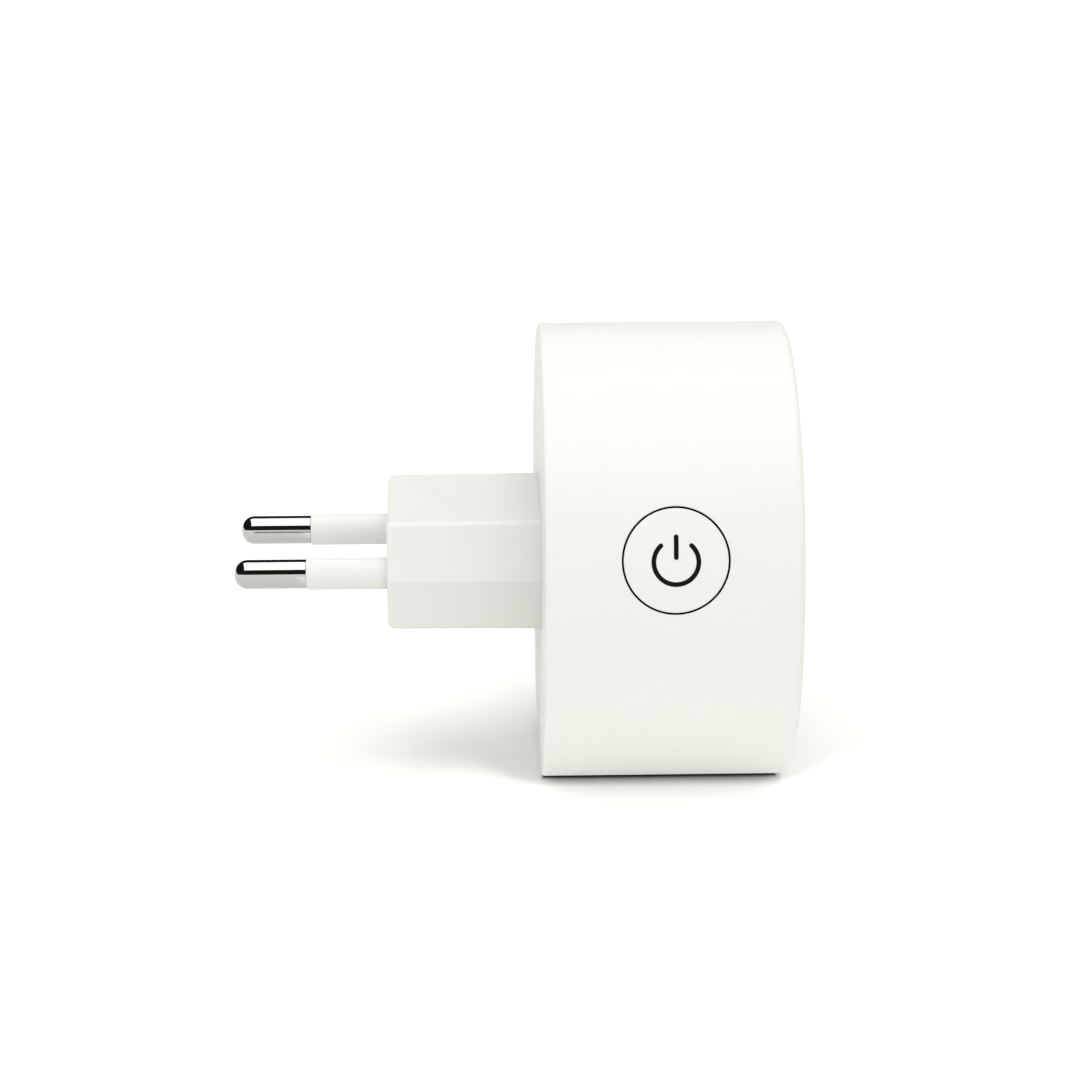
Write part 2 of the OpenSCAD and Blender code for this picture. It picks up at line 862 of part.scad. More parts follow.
module power_button() {
    color("whitesmoke") difference() {
        union() {
            intersection() {
                at_button() difference() {
                    translate([0, 0, button_foot]) cylinder(h = wall * 3, r = button_r);
                    translate([0, 0, button_foot - over])
                        cylinder(h = button_pocket_top - button_foot + over, r = button_pocket_r);
                }
                disc_x(0, body_t, body_r);
            }
            at_button() translate([0, 0, button_foot]) {
                cylinder(h = button_pocket_top - button_foot + 0.2, r = button_stem_r);
                difference() {
                    cylinder(h = button_flange_t, r = button_flange_r);
                    translate([0, 0, -over])
                        cylinder(h = button_flange_t + 2 * over, r = button_pocket_r);
                }
            }
        }
        icon_solid();
    }
}

module button_icon() {
    $fn = 256;
    color("black") intersection() {
        icon_solid();
        disc_x(0, body_t, body_r);
    }
}

module button_board() {
    back_l = body_t / 2 - board_top;
    color("seagreen") at_button() translate([-back_l, -6.5, side_board_w])
        cube([back_l + 8, 13, side_board_t]);
}

module switch_case() {
    color("dimgray") at_button() difference() {
        translate([-switch_size / 2, -switch_size / 2, side_board_top])
            cube([switch_size, switch_size, switch_top - side_board_top]);
        translate([0, 0, chamber_w[0]]) cylinder(h = chamber_w[1] - chamber_w[0], r = chamber_r);
        translate([0, 0, chamber_w[0]]) cylinder(h = switch_top, r = switch_hole_r);
    }
}

// Thin sprung disc under the plunger, from its raised middle to its rim
module switch_dome() {
    dome_t = 0.1;
    rim = [chamber_r - 0.2, chamber_w[0]];
    middle = [1.2, chamber_w[0] + 0.45];
    crown = [0, chamber_w[0] + 0.6];
    up = [0, dome_t];
    color("silver") at_button() rotate_extrude()
        polygon([crown, middle, rim, rim + up, middle + up, crown + up]);
}

module switch_plunger() {
    foot_at = chamber_w[0] + 0.75;
    foot_r = 2.2;
    foot_t = 0.55;
    color("black") at_button() translate([0, 0, foot_at]) {
        cylinder(h = plunger_top - foot_at, r = plunger_r);
        cylinder(h = foot_t, r = foot_r);
    }
}

module status_led() {
    color("lightyellow") at_button() translate([3.6, -1.6, side_board_top]) cube([1.6, 3.2, 1.1]);
}

rear_housing();
plug_boss();
front_cover();
outlet_insert();
contact_carrier();
carrier_screws();
shutter();
shutter_spring();
live_pin();
neutral_pin();
live_sleeve();
neutral_sleeve();
live_lead();
neutral_lead();
live_contact();
neutral_contact();
main_board();
board_screws();
relay_case();
relay_base();
relay_bobbin();
relay_winding();
relay_yoke();
relay_armature();
relay_contact();
transformer_core();
transformer_winding();
bulk_capacitor_1();
bulk_capacitor_2();
output_capacitor();
varistor();
fuse_resistor();
bridge_rectifier();
current_shunt();
board_chips();
radio_board();
shield_can();
antenna_trace();
power_button();
button_icon();
button_board();
switch_case();
switch_dome();
switch_plunger();
status_led();
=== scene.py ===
"""Round smart plug: the looks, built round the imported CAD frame.

Sizes are in millimetres and are turned into metres as each mesh is made. The origin is the centre
of the back face: +X runs out of the outlet, the pins point to -X, the button faces -Y, +Z is up.
"""

import json
import math
import bpy
import bmesh
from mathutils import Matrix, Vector


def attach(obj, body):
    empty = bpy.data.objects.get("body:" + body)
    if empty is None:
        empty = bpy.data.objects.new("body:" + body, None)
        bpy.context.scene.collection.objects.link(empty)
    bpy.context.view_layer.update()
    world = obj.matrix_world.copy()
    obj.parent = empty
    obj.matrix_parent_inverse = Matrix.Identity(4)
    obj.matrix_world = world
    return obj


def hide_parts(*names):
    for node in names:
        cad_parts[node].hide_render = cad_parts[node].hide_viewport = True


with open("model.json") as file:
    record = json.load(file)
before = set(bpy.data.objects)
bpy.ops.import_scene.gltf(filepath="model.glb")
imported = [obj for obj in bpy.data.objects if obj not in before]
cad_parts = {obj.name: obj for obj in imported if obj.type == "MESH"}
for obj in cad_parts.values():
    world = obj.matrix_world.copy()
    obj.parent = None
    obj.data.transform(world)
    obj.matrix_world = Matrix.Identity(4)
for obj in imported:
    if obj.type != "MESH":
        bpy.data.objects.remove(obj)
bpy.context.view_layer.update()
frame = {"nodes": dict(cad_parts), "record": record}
MM = 0.001

# ---------------------------------------------------------------- sizes, as in the CAD part
# body, and the step inside it that the front cover rests on
BODY_R, BODY_T, WALL = 31.5, 34.0, 2.2
FRONT_EDGE, BACK_EDGE = 1.0, 0.4
INNER_R = BODY_R - WALL
FOOT_HALF = 4.0
FOOT_Z = -math.sqrt(BODY_R ** 2 - FOOT_HALF ** 2)
LEDGE_X, LEDGE_R, LEDGE_T = 28.0, 28.0, 1.0

# boss: half sizes, rounding outside and inside, walls, and the flange inside the back wall
BOSS_L, BOSS_Z, RIDGE_Y, FLAT_Y = 21.0, 7.8, 13.6, 11.2
BOSS_EDGE, BOSS_CORE_EDGE, BOSS_DRAFT = 0.9, 0.3, 0.12
BOSS_WALL, BOSS_END = 1.5, 3.0
BOSS_FLANGE_W, BOSS_FLANGE_T = 1.2, 1.0

# pins and sleeves: places along X, then radii
PIN_Y = 9.5
TIP_X, BARE_X, HEAD_X, TAIL_X = -41.8, -32.0, -18.0, -15.8
PIN_R, PIN_TIP, CORE_R, HEAD_R, TAIL_R = 2.0, 1.8, 1.55, 2.4, 1.2
HEAD_T = 1.2
SLEEVE_R = 2.175

# front cover: the recess with its rounded mouth, the lip that holds the insert, the cup behind it,
# and the skirt with its snap ring
RECESS_R, MOUTH_R = 19.75, 1.0
LIP_X, LIP_T, LIP_W = 17.0, 1.5, 1.55
CUP_R, CUP_X = 21.55, 14.5
COVER_R, COVER_T, SKIRT_T = 29.2, 2.0, 1.5
SNAP_X, SNAP_R = 30.0, 0.3

# button, measured from the body's axis, and its mark
BUTTON_RAISE = math.radians(15.8)
HOLE_R, CAP_R, CAP_FOOT = 7.1, 6.85, 27.2
FLANGE_R, FLANGE_TOP = 7.8, 28.0
POCKET_R, POCKET_TOP, STEM_R = 5.4, 29.9, 1.5
ICON_R, ICON_LINE, ICON_DROP = 3.25, 0.63, 0.17
ICON_GAP = math.radians(43)
ICON_BAR = (0.6, 3.3)

# rounding of the moulded edges round the button and the front cover
SOFT = 0.14


# ---------------------------------------------------------------- shader nodes
# how far one step of a noise's seed moves it, in metres
SEED_SHIFT = (0.013, 0.007, 0.003)


class Wires:
    """Short ways to add nodes to a tree. An input is a number, a colour or another node's output."""

    def __init__(self, tree):
        self.tree = tree

    def put(self, value, socket):
        if isinstance(value, bpy.types.NodeSocket):
            self.tree.links.new(value, socket)
        else:
            socket.default_value = value

    def add(self, kind, inputs=None, **settings):
        node = self.tree.nodes.new("ShaderNode" + kind)
        for key, value in settings.items():
            setattr(node, key, value)
        for key, value in (inputs or {}).items():
            self.put(value, node.inputs[key])
        return node

    def calc(self, operation, a, b=0.0):
        return self.add("Math", {0: a, 1: b}, operation=operation).outputs[0]

    def mix(self, share, a, b):
        return self.add("Mix", {0: share, 2: a, 3: b}, data_type="FLOAT").outputs[0]

    def mix_colour(self, share, a, b):
        return self.add("Mix", {0: share, 6: a, 7: b}, data_type="RGBA").outputs[2]

    def ramp(self, value, start, end, low=0.0, high=1.0, curve="LINEAR"):
        """Goes from low at start to high at end, and stays there."""
        inputs = {"Value": value, "From Min": start, "From Max": end, "To Min": low, "To Max": high}
        return self.add("MapRange", inputs, interpolation_type=curve).outputs["Result"]

    def ease(self, value, start, end, high=1.0):
        """Rises smoothly from 0 at start to high at end."""
        return self.ramp(value, start, end, 0.0, high, "SMOOTHSTEP")

    def past(self, value, ends):
        """How far a value is outside a range: less than 0 inside it."""
        middle, half = (ends[0] + ends[1]) / 2 * MM, (ends[1] - ends[0]) / 2 * MM
        away = self.calc("ABSOLUTE", self.calc("SUBTRACT", value, middle))
        return self.calc("SUBTRACT", away, half)

    def noise(self, where, size, detail, seed):
        """Noise with features of a size in mm. The seed shifts it to another place."""
        shift = self.add("Mapping", {"Vector": where, "Location": [seed * c for c in SEED_SHIFT]})
        inputs = {"Vector": shift.outputs["Vector"], "Scale": 1 / (size * MM), "Detail": detail, "Roughness": 0.55}
        return self.add("TexNoise", inputs).outputs["Fac"]


# ---------------------------------------------------------------- materials
SLOW_SEED, FINE_SEED, FINE_SHARE = 3, 11, 0.35
# the part of the noise's range that the colour and roughness run over, and the soft edge of a pad
NOISE_LOW, NOISE_HIGH, PAD_SOFT = 0.3, 0.7, 0.08


def material(name, base, rough, metallic=0.0, vary=0.03, rough_vary=0.06, grain=0.25, bump=0.08, patch=9.0,
             coat=0.0, specular=0.5, lines=None, spots=None):
    """A procedural finish: slow patches and fine grain in the colour and roughness, and a fine bump.

    grain and patch are sizes in mm, and vary is how much of the colour comes and goes.
    lines = (axis, spacing in mm, strength) adds a fine ribbed bump.
    spots = (colour, distance between them in mm, size as a share of that) adds small pads.
    """
    made = bpy.data.materials.new(name)
    made.use_nodes = True
    wires = Wires(made.node_tree)
    shader = made.node_tree.nodes["Principled BSDF"]
    shader.inputs["Metallic"].default_value = metallic
    shader.inputs["Coat Weight"].default_value = coat
    shader.inputs["Specular IOR Level"].default_value = specular

    where = wires.add("TexCoord").outputs["Object"]
    slow = wires.noise(where, patch, 2.0, SLOW_SEED)
    fine = wires.noise(where, grain, 3.0, FINE_SEED)
    both = wires.mix(FINE_SHARE, slow, fine)

    shades = wires.add("ValToRGB", {"Fac": both})
    for stop, position, share in zip(shades.color_ramp.elements, (NOISE_LOW, NOISE_HIGH), (1 - vary, 1 + vary)):
        stop.position = position
        stop.color = (*[min(1.0, c * share) for c in base], 1)
    colour = shades.outputs["Color"]
    if spots:
        pad_colour, spacing, size = spots
        cells = wires.add("TexVoronoi", {"Vector": where, "Scale": 1 / (spacing * MM)})
        pads = wires.ramp(cells.outputs["Distance"], size, size - PAD_SOFT)
        colour = wires.mix_colour(pads, colour, (*pad_colour, 1))
    wires.put(colour, shader.inputs["Base Color"])

    rougher = wires.ramp(both, NOISE_LOW, NOISE_HIGH, max(0.02, rough - rough_vary), min(1.0, rough + rough_vary))
    wires.put(rougher, shader.inputs["Roughness"])

    height = fine
    if lines:
        axis, spacing, strength = lines
        scale = 1 / (spacing * MM) / (2 * math.pi)
        ribs = wires.add("TexWave", {"Vector": where, "Scale": scale, "Distortion": 0.2}, bands_direction=axis)
        height = wires.mix(strength, height, ribs.outputs["Fac"])
    relief = wires.add("Bump", {"Strength": bump, "Distance": grain * MM, "Height": height})
    wires.put(relief.outputs["Normal"], shader.inputs["Normal"])
    return made


WHITE = (0.60, 0.606, 0.582)
BLACK, PRINT_BLACK = (0.004, 0.004, 0.004), (0.004, 0.0045, 0.0045)
PAD_GOLD = (0.62, 0.56, 0.36)
FINISHES = [
    # outside
    ("white_plastic", WHITE, 0.52, dict(vary=0.006, rough_vary=0.05, grain=0.22, bump=0.05, specular=0.3)),
    ("button_plastic", WHITE, 0.50, dict(vary=0.006, rough_vary=0.04, grain=0.2, bump=0.04, specular=0.3)),
    # painted shade: black for the walls of the gap round the button, which are only in shade
    ("gap_shadow", BLACK, 0.8, dict(vary=0.1, grain=0.2, specular=0.05)),
    ("icon_black", PRINT_BLACK, 0.5, dict(vary=0.15, grain=0.15, bump=0.06, specular=0.06)),
    ("insert_plastic", (0.77, 0.775, 0.745), 0.45, dict(vary=0.01, bump=0.06)),
    ("nickel", (0.47, 0.465, 0.455), 0.05, dict(metallic=1.0, vary=0.01, rough_vary=0.02, grain=0.3, bump=0.006)),
    # metal inside
    ("brass_strip", (0.80, 0.62, 0.30), 0.28, dict(metallic=1.0, vary=0.05, grain=0.2, lines=("X", 0.12, 0.3))),
    ("copper", (0.75, 0.43, 0.27), 0.3, dict(metallic=1.0, vary=0.06, grain=0.2, bump=0.3, lines=("Z", 0.22, 0.8))),
    ("screw_steel", (0.66, 0.67, 0.69), 0.3, dict(metallic=1.0, vary=0.05, grain=0.2)),
    ("soft_iron", (0.50, 0.51, 0.53), 0.4, dict(metallic=1.0, vary=0.05, grain=0.2)),
    ("shield_steel", (0.72, 0.73, 0.74), 0.25, dict(metallic=1.0, vary=0.04)),
    # circuit parts
    ("board_green", (0.045, 0.26, 0.13), 0.32, dict(vary=0.12, grain=0.5, coat=0.3, spots=(PAD_GOLD, 2.6, 0.26))),
    ("relay_blue", (0.05, 0.18, 0.50), 0.35, dict(grain=0.2)),
    ("dark_plastic", (0.035, 0.035, 0.04), 0.45, dict(vary=0.1, grain=0.2, bump=0.15)),
    ("ferrite", (0.11, 0.11, 0.12), 0.6, dict(vary=0.12, grain=0.3, bump=0.2)),
    ("tape_yellow", (0.82, 0.62, 0.08), 0.25, dict(vary=0.05, grain=0.3, lines=("X", 1.1, 0.5))),
    ("capacitor_sleeve", (0.04, 0.055, 0.09), 0.28, dict(vary=0.08, grain=0.3)),
    ("varistor_coat", (0.08, 0.26, 0.55), 0.3, dict(vary=0.08, grain=0.5, bump=0.2)),
    ("resistor_coat", (0.22, 0.42, 0.27), 0.5, dict(vary=0.08, grain=0.3, bump=0.15)),
    ("led_resin", (0.93, 0.91, 0.74), 0.15, dict(grain=0.2)),
]
FINISH = {name: material(name, base, rough, **details) for name, base, rough, details in FINISHES}
for row in frame["record"]["subparts"]:
    mesh = frame["nodes"][row["node"]].data
    mesh.materials.clear()
    mesh.materials.append(FINISH[row["material_slot"]])


# ---------------------------------------------------------------- mesh building
# in metres: points closer than this are one point, and edges shorter than this are dropped
SAME_POINT, NO_EDGE = 1e-7, 1e-8


class Skin:
    """A mesh in the making: rings of points joined by quads. A shade is a place in its list of slots."""

    def __init__(self):
        self.points, self.faces, self.shades = [], [], []

    def ring(self, points):
        """Adds points and returns their ids."""
        start = len(self.points)
        self.points.extend(points)
        return list(range(start, start + len(points)))

    def face(self, ids, shade=0):
        self.faces.append(tuple(ids))
        self.shades.append(shade)

    def join(self, a, b, shade=0, wrap=True, skip=()):
        """Quads between two rings of ids, round to the first point again if they wrap."""
        count = len(a)
        for i in range(count if wrap else count - 1):
            if i not in skip:
                k = (i + 1) % count
                self.face((a[i], a[k], b[k], b[i]), shade)

    def join_all(self, rings, wrap=True):
        for a, b in zip(rings, rings[1:]):
            self.join(a, b, wrap=wrap)

    def plate(self, outline, holes, normal):
        """A flat face with holes in it, as triangles."""
        flat = bmesh.new()
        for loop in [outline] + holes:
            verts = [flat.verts.new(p) for p in loop]
            for p, q in zip(verts, verts[1:] + verts[:1]):
                flat.edges.new((p, q))
        bmesh.ops.triangle_fill(flat, edges=flat.edges[:], use_beauty=True, use_dissolve=False, normal=normal)
        flat.verts.index_update()
        ids = self.ring([tuple(v.co) for v in flat.verts])
        for f in flat.faces:
            self.face([ids[v.index] for v in f.verts])
        flat.free()

    def mesh(self, name):
        made = bpy.data.meshes.new(name)
        made.from_pydata([[c * MM for c in p] for p in self.points], [], self.faces)
        return made

    def piece(self, name, slots, body, replaced, sharp=40.0):
        """A finished piece of the object, with smooth shading between edges sharper than an angle in degrees."""
        mesh = self.mesh(name)
        for s in slots:
            mesh.materials.append(FINISH[s])
        mesh.polygons.foreach_set("material_index", self.shades)
        b = bmesh.new()
        b.from_mesh(mesh)
        bmesh.ops.remove_doubles(b, verts=b.verts, dist=SAME_POINT)
        bmesh.ops.dissolve_degenerate(b, edges=b.edges, dist=NO_EDGE)
        bmesh.ops.recalc_face_normals(b, faces=b.faces)
        b.to_mesh(mesh)
        b.free()
        mesh.shade_smooth()
        mesh.set_sharp_from_angle(angle=math.radians(sharp))
        o = place(name, mesh)
        weigh = o.modifiers.new("even_normals", "WEIGHTED_NORMAL")
        weigh.keep_sharp = True
        weigh.weight = 100
        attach(o, body)
        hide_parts(replaced)
        return o


def place(name, data):
    o = bpy.data.objects.new(name, data)
    bpy.context.scene.collection.objects.link(o)
    return o


def arc(centre, r, start, stop, steps):
    """Points on a circle, angles in degrees, as (x, radius) pairs."""
    angles = [math.radians(start + (stop - start) * i / steps) for i in range(steps + 1)]
    return [(centre[0] + r * math.cos(a), centre[1] + r * math.sin(a)) for a in angles]


def circle(x, y, r, count):
    angles = [2 * math.pi * k / count for k in range(count)]
    return [(x, y + r * math.cos(a), r * math.sin(a)) for a in angles]


def lathe(name, profile, slot, replaced, y=0.0, segments=192, closed=True):
    """Turns a profile of (x, radius) points round X. An open profile ends on the axis, at radius zero."""
    s = Skin()
    nearly_zero = 1e-5
    rings = [s.ring(circle(x, y, max(r, nearly_zero), segments)) for x, r in profile]
    s.join_all(rings + rings[:1] if closed else rings)
    return s.piece(name, [slot], "housing", replaced)


# ---------------------------------------------------------------- the body's grid and the button's frame
# The housing is a grid of rings round X with a rectangular window cut out of it for the button. The
# grid starts at the button, so the window reaches WINDOW_HALF steps to each side of it.
STEPS, TURN = 288, 2 * math.pi / 288
BUTTON_AT = math.pi - BUTTON_RAISE
WINDOW_HALF = 14
WINDOW_START, WINDOW_L = 7.6, 18.8
WINDOW_X = [WINDOW_START + WINDOW_L * i / (2 * WINDOW_HALF) for i in range(2 * WINDOW_HALF + 1)]


def at_button(u, v, w):
    """A point in the button's frame: u along X, v up the side wall, w outwards from the body's axis."""
    c, s = math.cos(BUTTON_RAISE), math.sin(BUTTON_RAISE)
    return (BODY_T / 2 + u, s * v - c * w, c * v + s * w)


def on_side(u, v, r, lift=0.0):
    """A point in the button's frame that lies on a round side wall of radius r."""
    return at_button(u, v, math.sqrt(r * r - v * v) + lift)


def round_ring(x, r):
    """A ring of the grid, cut off level at the foot."""
    angles = [BUTTON_AT + j * TURN for j in range(STEPS)]
    return [(x, r * math.cos(a), max(r * math.sin(a), FOOT_Z)) for a in angles]


def boss_corners(grow):
    """The six corners of the boss's section, with every side moved out by grow, as (y, z) pairs."""
    slant_y = RIDGE_Y - FLAT_Y
    slant = math.hypot(BOSS_Z, slant_y)
    ridge = RIDGE_Y + grow * slant / BOSS_Z
    flat = RIDGE_Y - (slant_y * (BOSS_Z + grow) - grow * slant) / BOSS_Z
    top = BOSS_Z + grow
    return [(ridge, 0), (flat, top), (-flat, top), (-ridge, 0), (-flat, -top), (flat, -top)]


def boss_outline(grow, r, corner_steps=8, side_steps=10):
    """The boss's section with corners of radius r, as (y, z) pairs."""
    corners = boss_corners(grow - r)
    out = []
    for i in range(6):
        before, here, after = Vector(corners[i - 1]), Vector(corners[i]), Vector(corners[(i + 1) % 6])
        a0 = math.atan2(-(here - before).x, (here - before).y)
        a1 = math.atan2(-(after - here).x, (after - here).y)
        while a1 < a0:
            a1 += 2 * math.pi
        for k in range(corner_steps + 1):
            a = a0 + (a1 - a0) * k / corner_steps
            out.append((here.x + r * math.cos(a), here.y + r * math.sin(a)))
        last = Vector(out[-1])
        following = Vector((after.x + r * math.cos(a1), after.y + r * math.sin(a1)))
        for k in range(1, side_steps):
            p = last.lerp(following, k / side_steps)
            out.append((p.x, p.y))
    return out


def boss_ring(x, grow, r=BOSS_EDGE):
    return [(x, y, z) for y, z in boss_outline(grow, r)]


def boss_grid_ring(x, grow):
    """The boss's section as a ring of the housing's grid: its points are where the grid's lines cross it."""
    outline = [Vector(p) for p in boss_outline(grow, BOSS_EDGE, 24, 40)]
    out = []
    for j in range(STEPS):
        a = BUTTON_AT + j * TURN
        d = Vector((math.cos(a), math.sin(a)))
        crossing = None
        for p, q in zip(outline, outline[1:] + outline[:1]):
            cp, cq = d.x * p.y - d.y * p.x, d.x * q.y - d.y * q.x
            if cp * cq <= 0 and cp != cq:
                hit = p.lerp(q, cp / (cp - cq))
                if hit.dot(d) > 0:
                    crossing = hit
        out.append((x, crossing.x, crossing.y))
    return out


# ---------------------------------------------------------------- rear housing
def window_walk():
    """The steps round the window's edge, as (step round the body, line of WINDOW_X)."""
    h, full = WINDOW_HALF, 2 * WINDOW_HALF
    walk = [(-h + k, 0) for k in range(full)]
    walk += [(h, k) for k in range(full)]
    walk += [(h - k, full) for k in range(full)]
    walk += [(-h, full - k) for k in range(full)]
    return walk


def window_ids(ids):
    """The ids round the window, from one ring of ids for each line of WINDOW_X."""
    return [ids[line][step % STEPS] for step, line in window_walk()]


def window_uv(r):
    """Where those points are in the button's frame, on a wall of radius r."""
    return [(WINDOW_X[line] - BODY_T / 2, -r * math.sin(step * TURN)) for step, line in window_walk()]


def hole_ring(rho, r, drop=0.0):
    """A circle round the button's axis, on a wall of radius r, with one point for each step of the walk."""
    angles = [math.atan2(v, u) for u, v in window_uv(BODY_R)]
    return [on_side(rho * math.cos(a), rho * math.sin(a), r, -drop) for a in angles]


def between_ring(r, share):
    """Part of the way from the window's edge to the edge of the button's hole."""
    rho = HOLE_R + SOFT
    out = []
    for u, v in window_uv(r):
        a = math.atan2(v, u)
        out.append(on_side(u + (rho * math.cos(a) - u) * share, v + (rho * math.sin(a) - v) * share, r))
    return out


def build_housing():
    s = Skin()
    # the back wall, from the boss's hole out to the rim
    lines = [boss_grid_ring(x, gap) for x, gap in ((WALL, 0.02), (0.16, 0.02), (0.05, 0.06), (0.0, 0.17))]
    foot_of_boss, rim = lines[-1], round_ring(0.0, BODY_R - BACK_EDGE)
    for share in (0.04, 0.35, 0.7, 0.96):
        lines.append([tuple(a + (b - a) * share for a, b in zip(p, q)) for p, q in zip(foot_of_boss, rim)])
    lines += [round_ring(x, r) for x, r in arc((BACK_EDGE, BODY_R - BACK_EDGE), BACK_EDGE, 180, 90, 8)]
    # the side wall outside
    lines += [round_ring(x, BODY_R) for x in (1.6, 3.6, 5.6)]
    outside = len(lines)
    lines += [round_ring(x, BODY_R) for x in WINDOW_X]
    lines += [round_ring(x, BODY_R) for x in (28.4, 30.4, 31.6)]
    # the front rim, and the step for the cover
    lines += [round_ring(x, r) for x, r in arc((BODY_T - FRONT_EDGE, BODY_R - FRONT_EDGE), FRONT_EDGE, 90, 0, 12)]
    lines += [round_ring(BODY_T - a, INNER_R + b) for a, b in ((0.0, SOFT), (0.04, 0.04), (SOFT, 0.0))]
    lines += [round_ring(LEDGE_X, r) for r in (INNER_R, LEDGE_R)]
    lines += [round_ring(LEDGE_X - LEDGE_T, r) for r in (LEDGE_R, INNER_R)]
    # the side wall inside, and the back wall inside
    inside = len(lines)
    lines += [round_ring(x, INNER_R) for x in reversed(WINDOW_X)]
    lines += [round_ring(WALL, INNER_R), boss_grid_ring(WALL, 0.02)]

    ids = [s.ring(line) for line in lines]
    window_steps = {step % STEPS for step in range(-WINDOW_HALF, WINDOW_HALF)}
    across = len(WINDOW_X) - 1
    for i, (a, b) in enumerate(zip(ids, ids[1:])):
        open_here = outside <= i < outside + across or inside <= i < inside + across
        s.join(a, b, skip=window_steps if open_here else ())

    # the wall round the button's hole: outside, rounded edge, the hole itself painted black as the shade in the
    # gap, inside
    rings = [window_ids(ids[outside:outside + across + 1])]
    rings += [s.ring(between_ring(BODY_R, k / 10)) for k in range(1, 11)]
    for k in range(1, 7):
        t = math.radians(90 * k / 6)
        rings.append(s.ring(hole_ring(HOLE_R + SOFT * (1 - math.sin(t)), BODY_R, SOFT * (1 - math.cos(t)))))
    dark_from = len(rings) - 2
    rings.append(s.ring(hole_ring(HOLE_R, INNER_R)))
    dark_to = len(rings) - 1
    rings += [s.ring(between_ring(INNER_R, 1 - k / 4)) for k in range(1, 4)]
    rings.append(window_ids(ids[inside:inside + across + 1][::-1]))
    for i, (a, b) in enumerate(zip(rings, rings[1:])):
        s.join(a, b, 1 if dark_from <= i < dark_to else 0)
    return s.piece("housing_shell", ["white_plastic", "gap_shadow"], "housing", "rear_housing")


# ---------------------------------------------------------------- boss
def build_boss():
    s = Skin()
    rings = []
    least_r = 1e-3
    # the rounded end, then the outside, the flange and the hollow inside
    for k in range(8, -1, -1):
        t = math.radians(90 * k / 8)
        x, grow = -BOSS_L + BOSS_EDGE * (1 - math.sin(t)), -BOSS_DRAFT - BOSS_EDGE * (1 - math.cos(t))
        rings.append(boss_ring(x, grow, max(least_r, BOSS_EDGE * math.cos(t))))
    for x in (-16.0, -11.0, -6.0, -2.0, 0.0, WALL):
        rings.append(boss_ring(x, min(0.0, -BOSS_DRAFT * -x / (BOSS_L - BOSS_EDGE))))
    rings += [boss_ring(x, BOSS_FLANGE_W) for x in (WALL, WALL + BOSS_FLANGE_T)]
    rings += [boss_ring(x, -BOSS_WALL, BOSS_CORE_EDGE) for x in (WALL + BOSS_FLANGE_T, -BOSS_L + BOSS_END)]
    s.join_all([s.ring(ring) for ring in rings])

    # the end wall has a hole for each sleeve
    ends = [(rings[0], -BOSS_L), (rings[-1], -BOSS_L + BOSS_END)]
    holes = [[circle(x, side * PIN_Y, SLEEVE_R, 64) for side in (-1, 1)] for _, x in ends]
    for (outline, _), pair in zip(ends, holes):
        s.plate(outline, pair, (1, 0, 0))
    for near, far in zip(*holes):
        s.join_all([s.ring(near), s.ring(far)])
    return s.piece("boss_shell", ["white_plastic"], "housing", "plug_boss")


# ---------------------------------------------------------------- pins and sleeves
def build_pins():
    flat = PIN_R - PIN_TIP
    pin = [(TIP_X, flat * k / 3) for k in range(4)]
    pin += arc((TIP_X + PIN_TIP, flat), PIN_TIP, 180, 90, 20)[1:]
    pin += [(x, PIN_R) for x in (-39.0, -36.0, -33.5, BARE_X - 0.12)]
    pin += [(BARE_X - 0.03, PIN_R - 0.03), (BARE_X, PIN_R - 0.1), (BARE_X, CORE_R)]
    pin += [(HEAD_X, CORE_R), (HEAD_X, HEAD_R), (HEAD_X + HEAD_T, HEAD_R), (HEAD_X + HEAD_T, TAIL_R)]
    pin += [(TAIL_X, TAIL_R), (TAIL_X, 0.0)]
    sleeve = [(BARE_X, CORE_R), (BARE_X, SLEEVE_R - 0.14), (BARE_X + 0.05, SLEEVE_R - 0.04)]
    sleeve += [(x, SLEEVE_R) for x in (BARE_X + 0.16, -29.0, -25.0, -22.0, HEAD_X)] + [(HEAD_X, CORE_R)]
    for y, name in ((-PIN_Y, "live"), (PIN_Y, "neutral")):
        lathe(name + "_pin_metal", pin, "nickel", name + "_pin", y, 128, closed=False)
        lathe(name + "_sleeve_skin", sleeve, "white_plastic", name + "_sleeve", y, 128)


# ---------------------------------------------------------------- front cover
def build_cover():
    cover_back, skirt_r, lip_r = BODY_T - COVER_T, COVER_R - SKIRT_T, RECESS_R - LIP_W
    # the rounded mouth and the recess
    p = arc((BODY_T - MOUTH_R, RECESS_R + MOUTH_R), MOUTH_R, 0, -90, 10)
    p += [(x, RECESS_R) for x in (28.0, 23.0, 19.0, LIP_X)]
    p += [(LIP_X, lip_r), (LIP_X - LIP_T, lip_r), (LIP_X - LIP_T, RECESS_R), (CUP_X, RECESS_R)]
    # the back, and the skirt with its snap ring
    p += [(CUP_X, CUP_R), (cover_back, CUP_R), (cover_back, skirt_r), (LEDGE_X, skirt_r), (LEDGE_X, COVER_R)]
    p += arc((SNAP_X, COVER_R), SNAP_R, 180, 0, 8)
    # the outer edge and the face
    p += [(31.0, COVER_R), (BODY_T - 0.16, COVER_R), (BODY_T - 0.05, COVER_R - 0.05), (BODY_T, COVER_R - 0.16)]
    p += [(BODY_T, COVER_R - 2.0), (BODY_T, RECESS_R + 3.0)]
    return lathe("cover_ring", p, "white_plastic", "front_cover", segments=256)


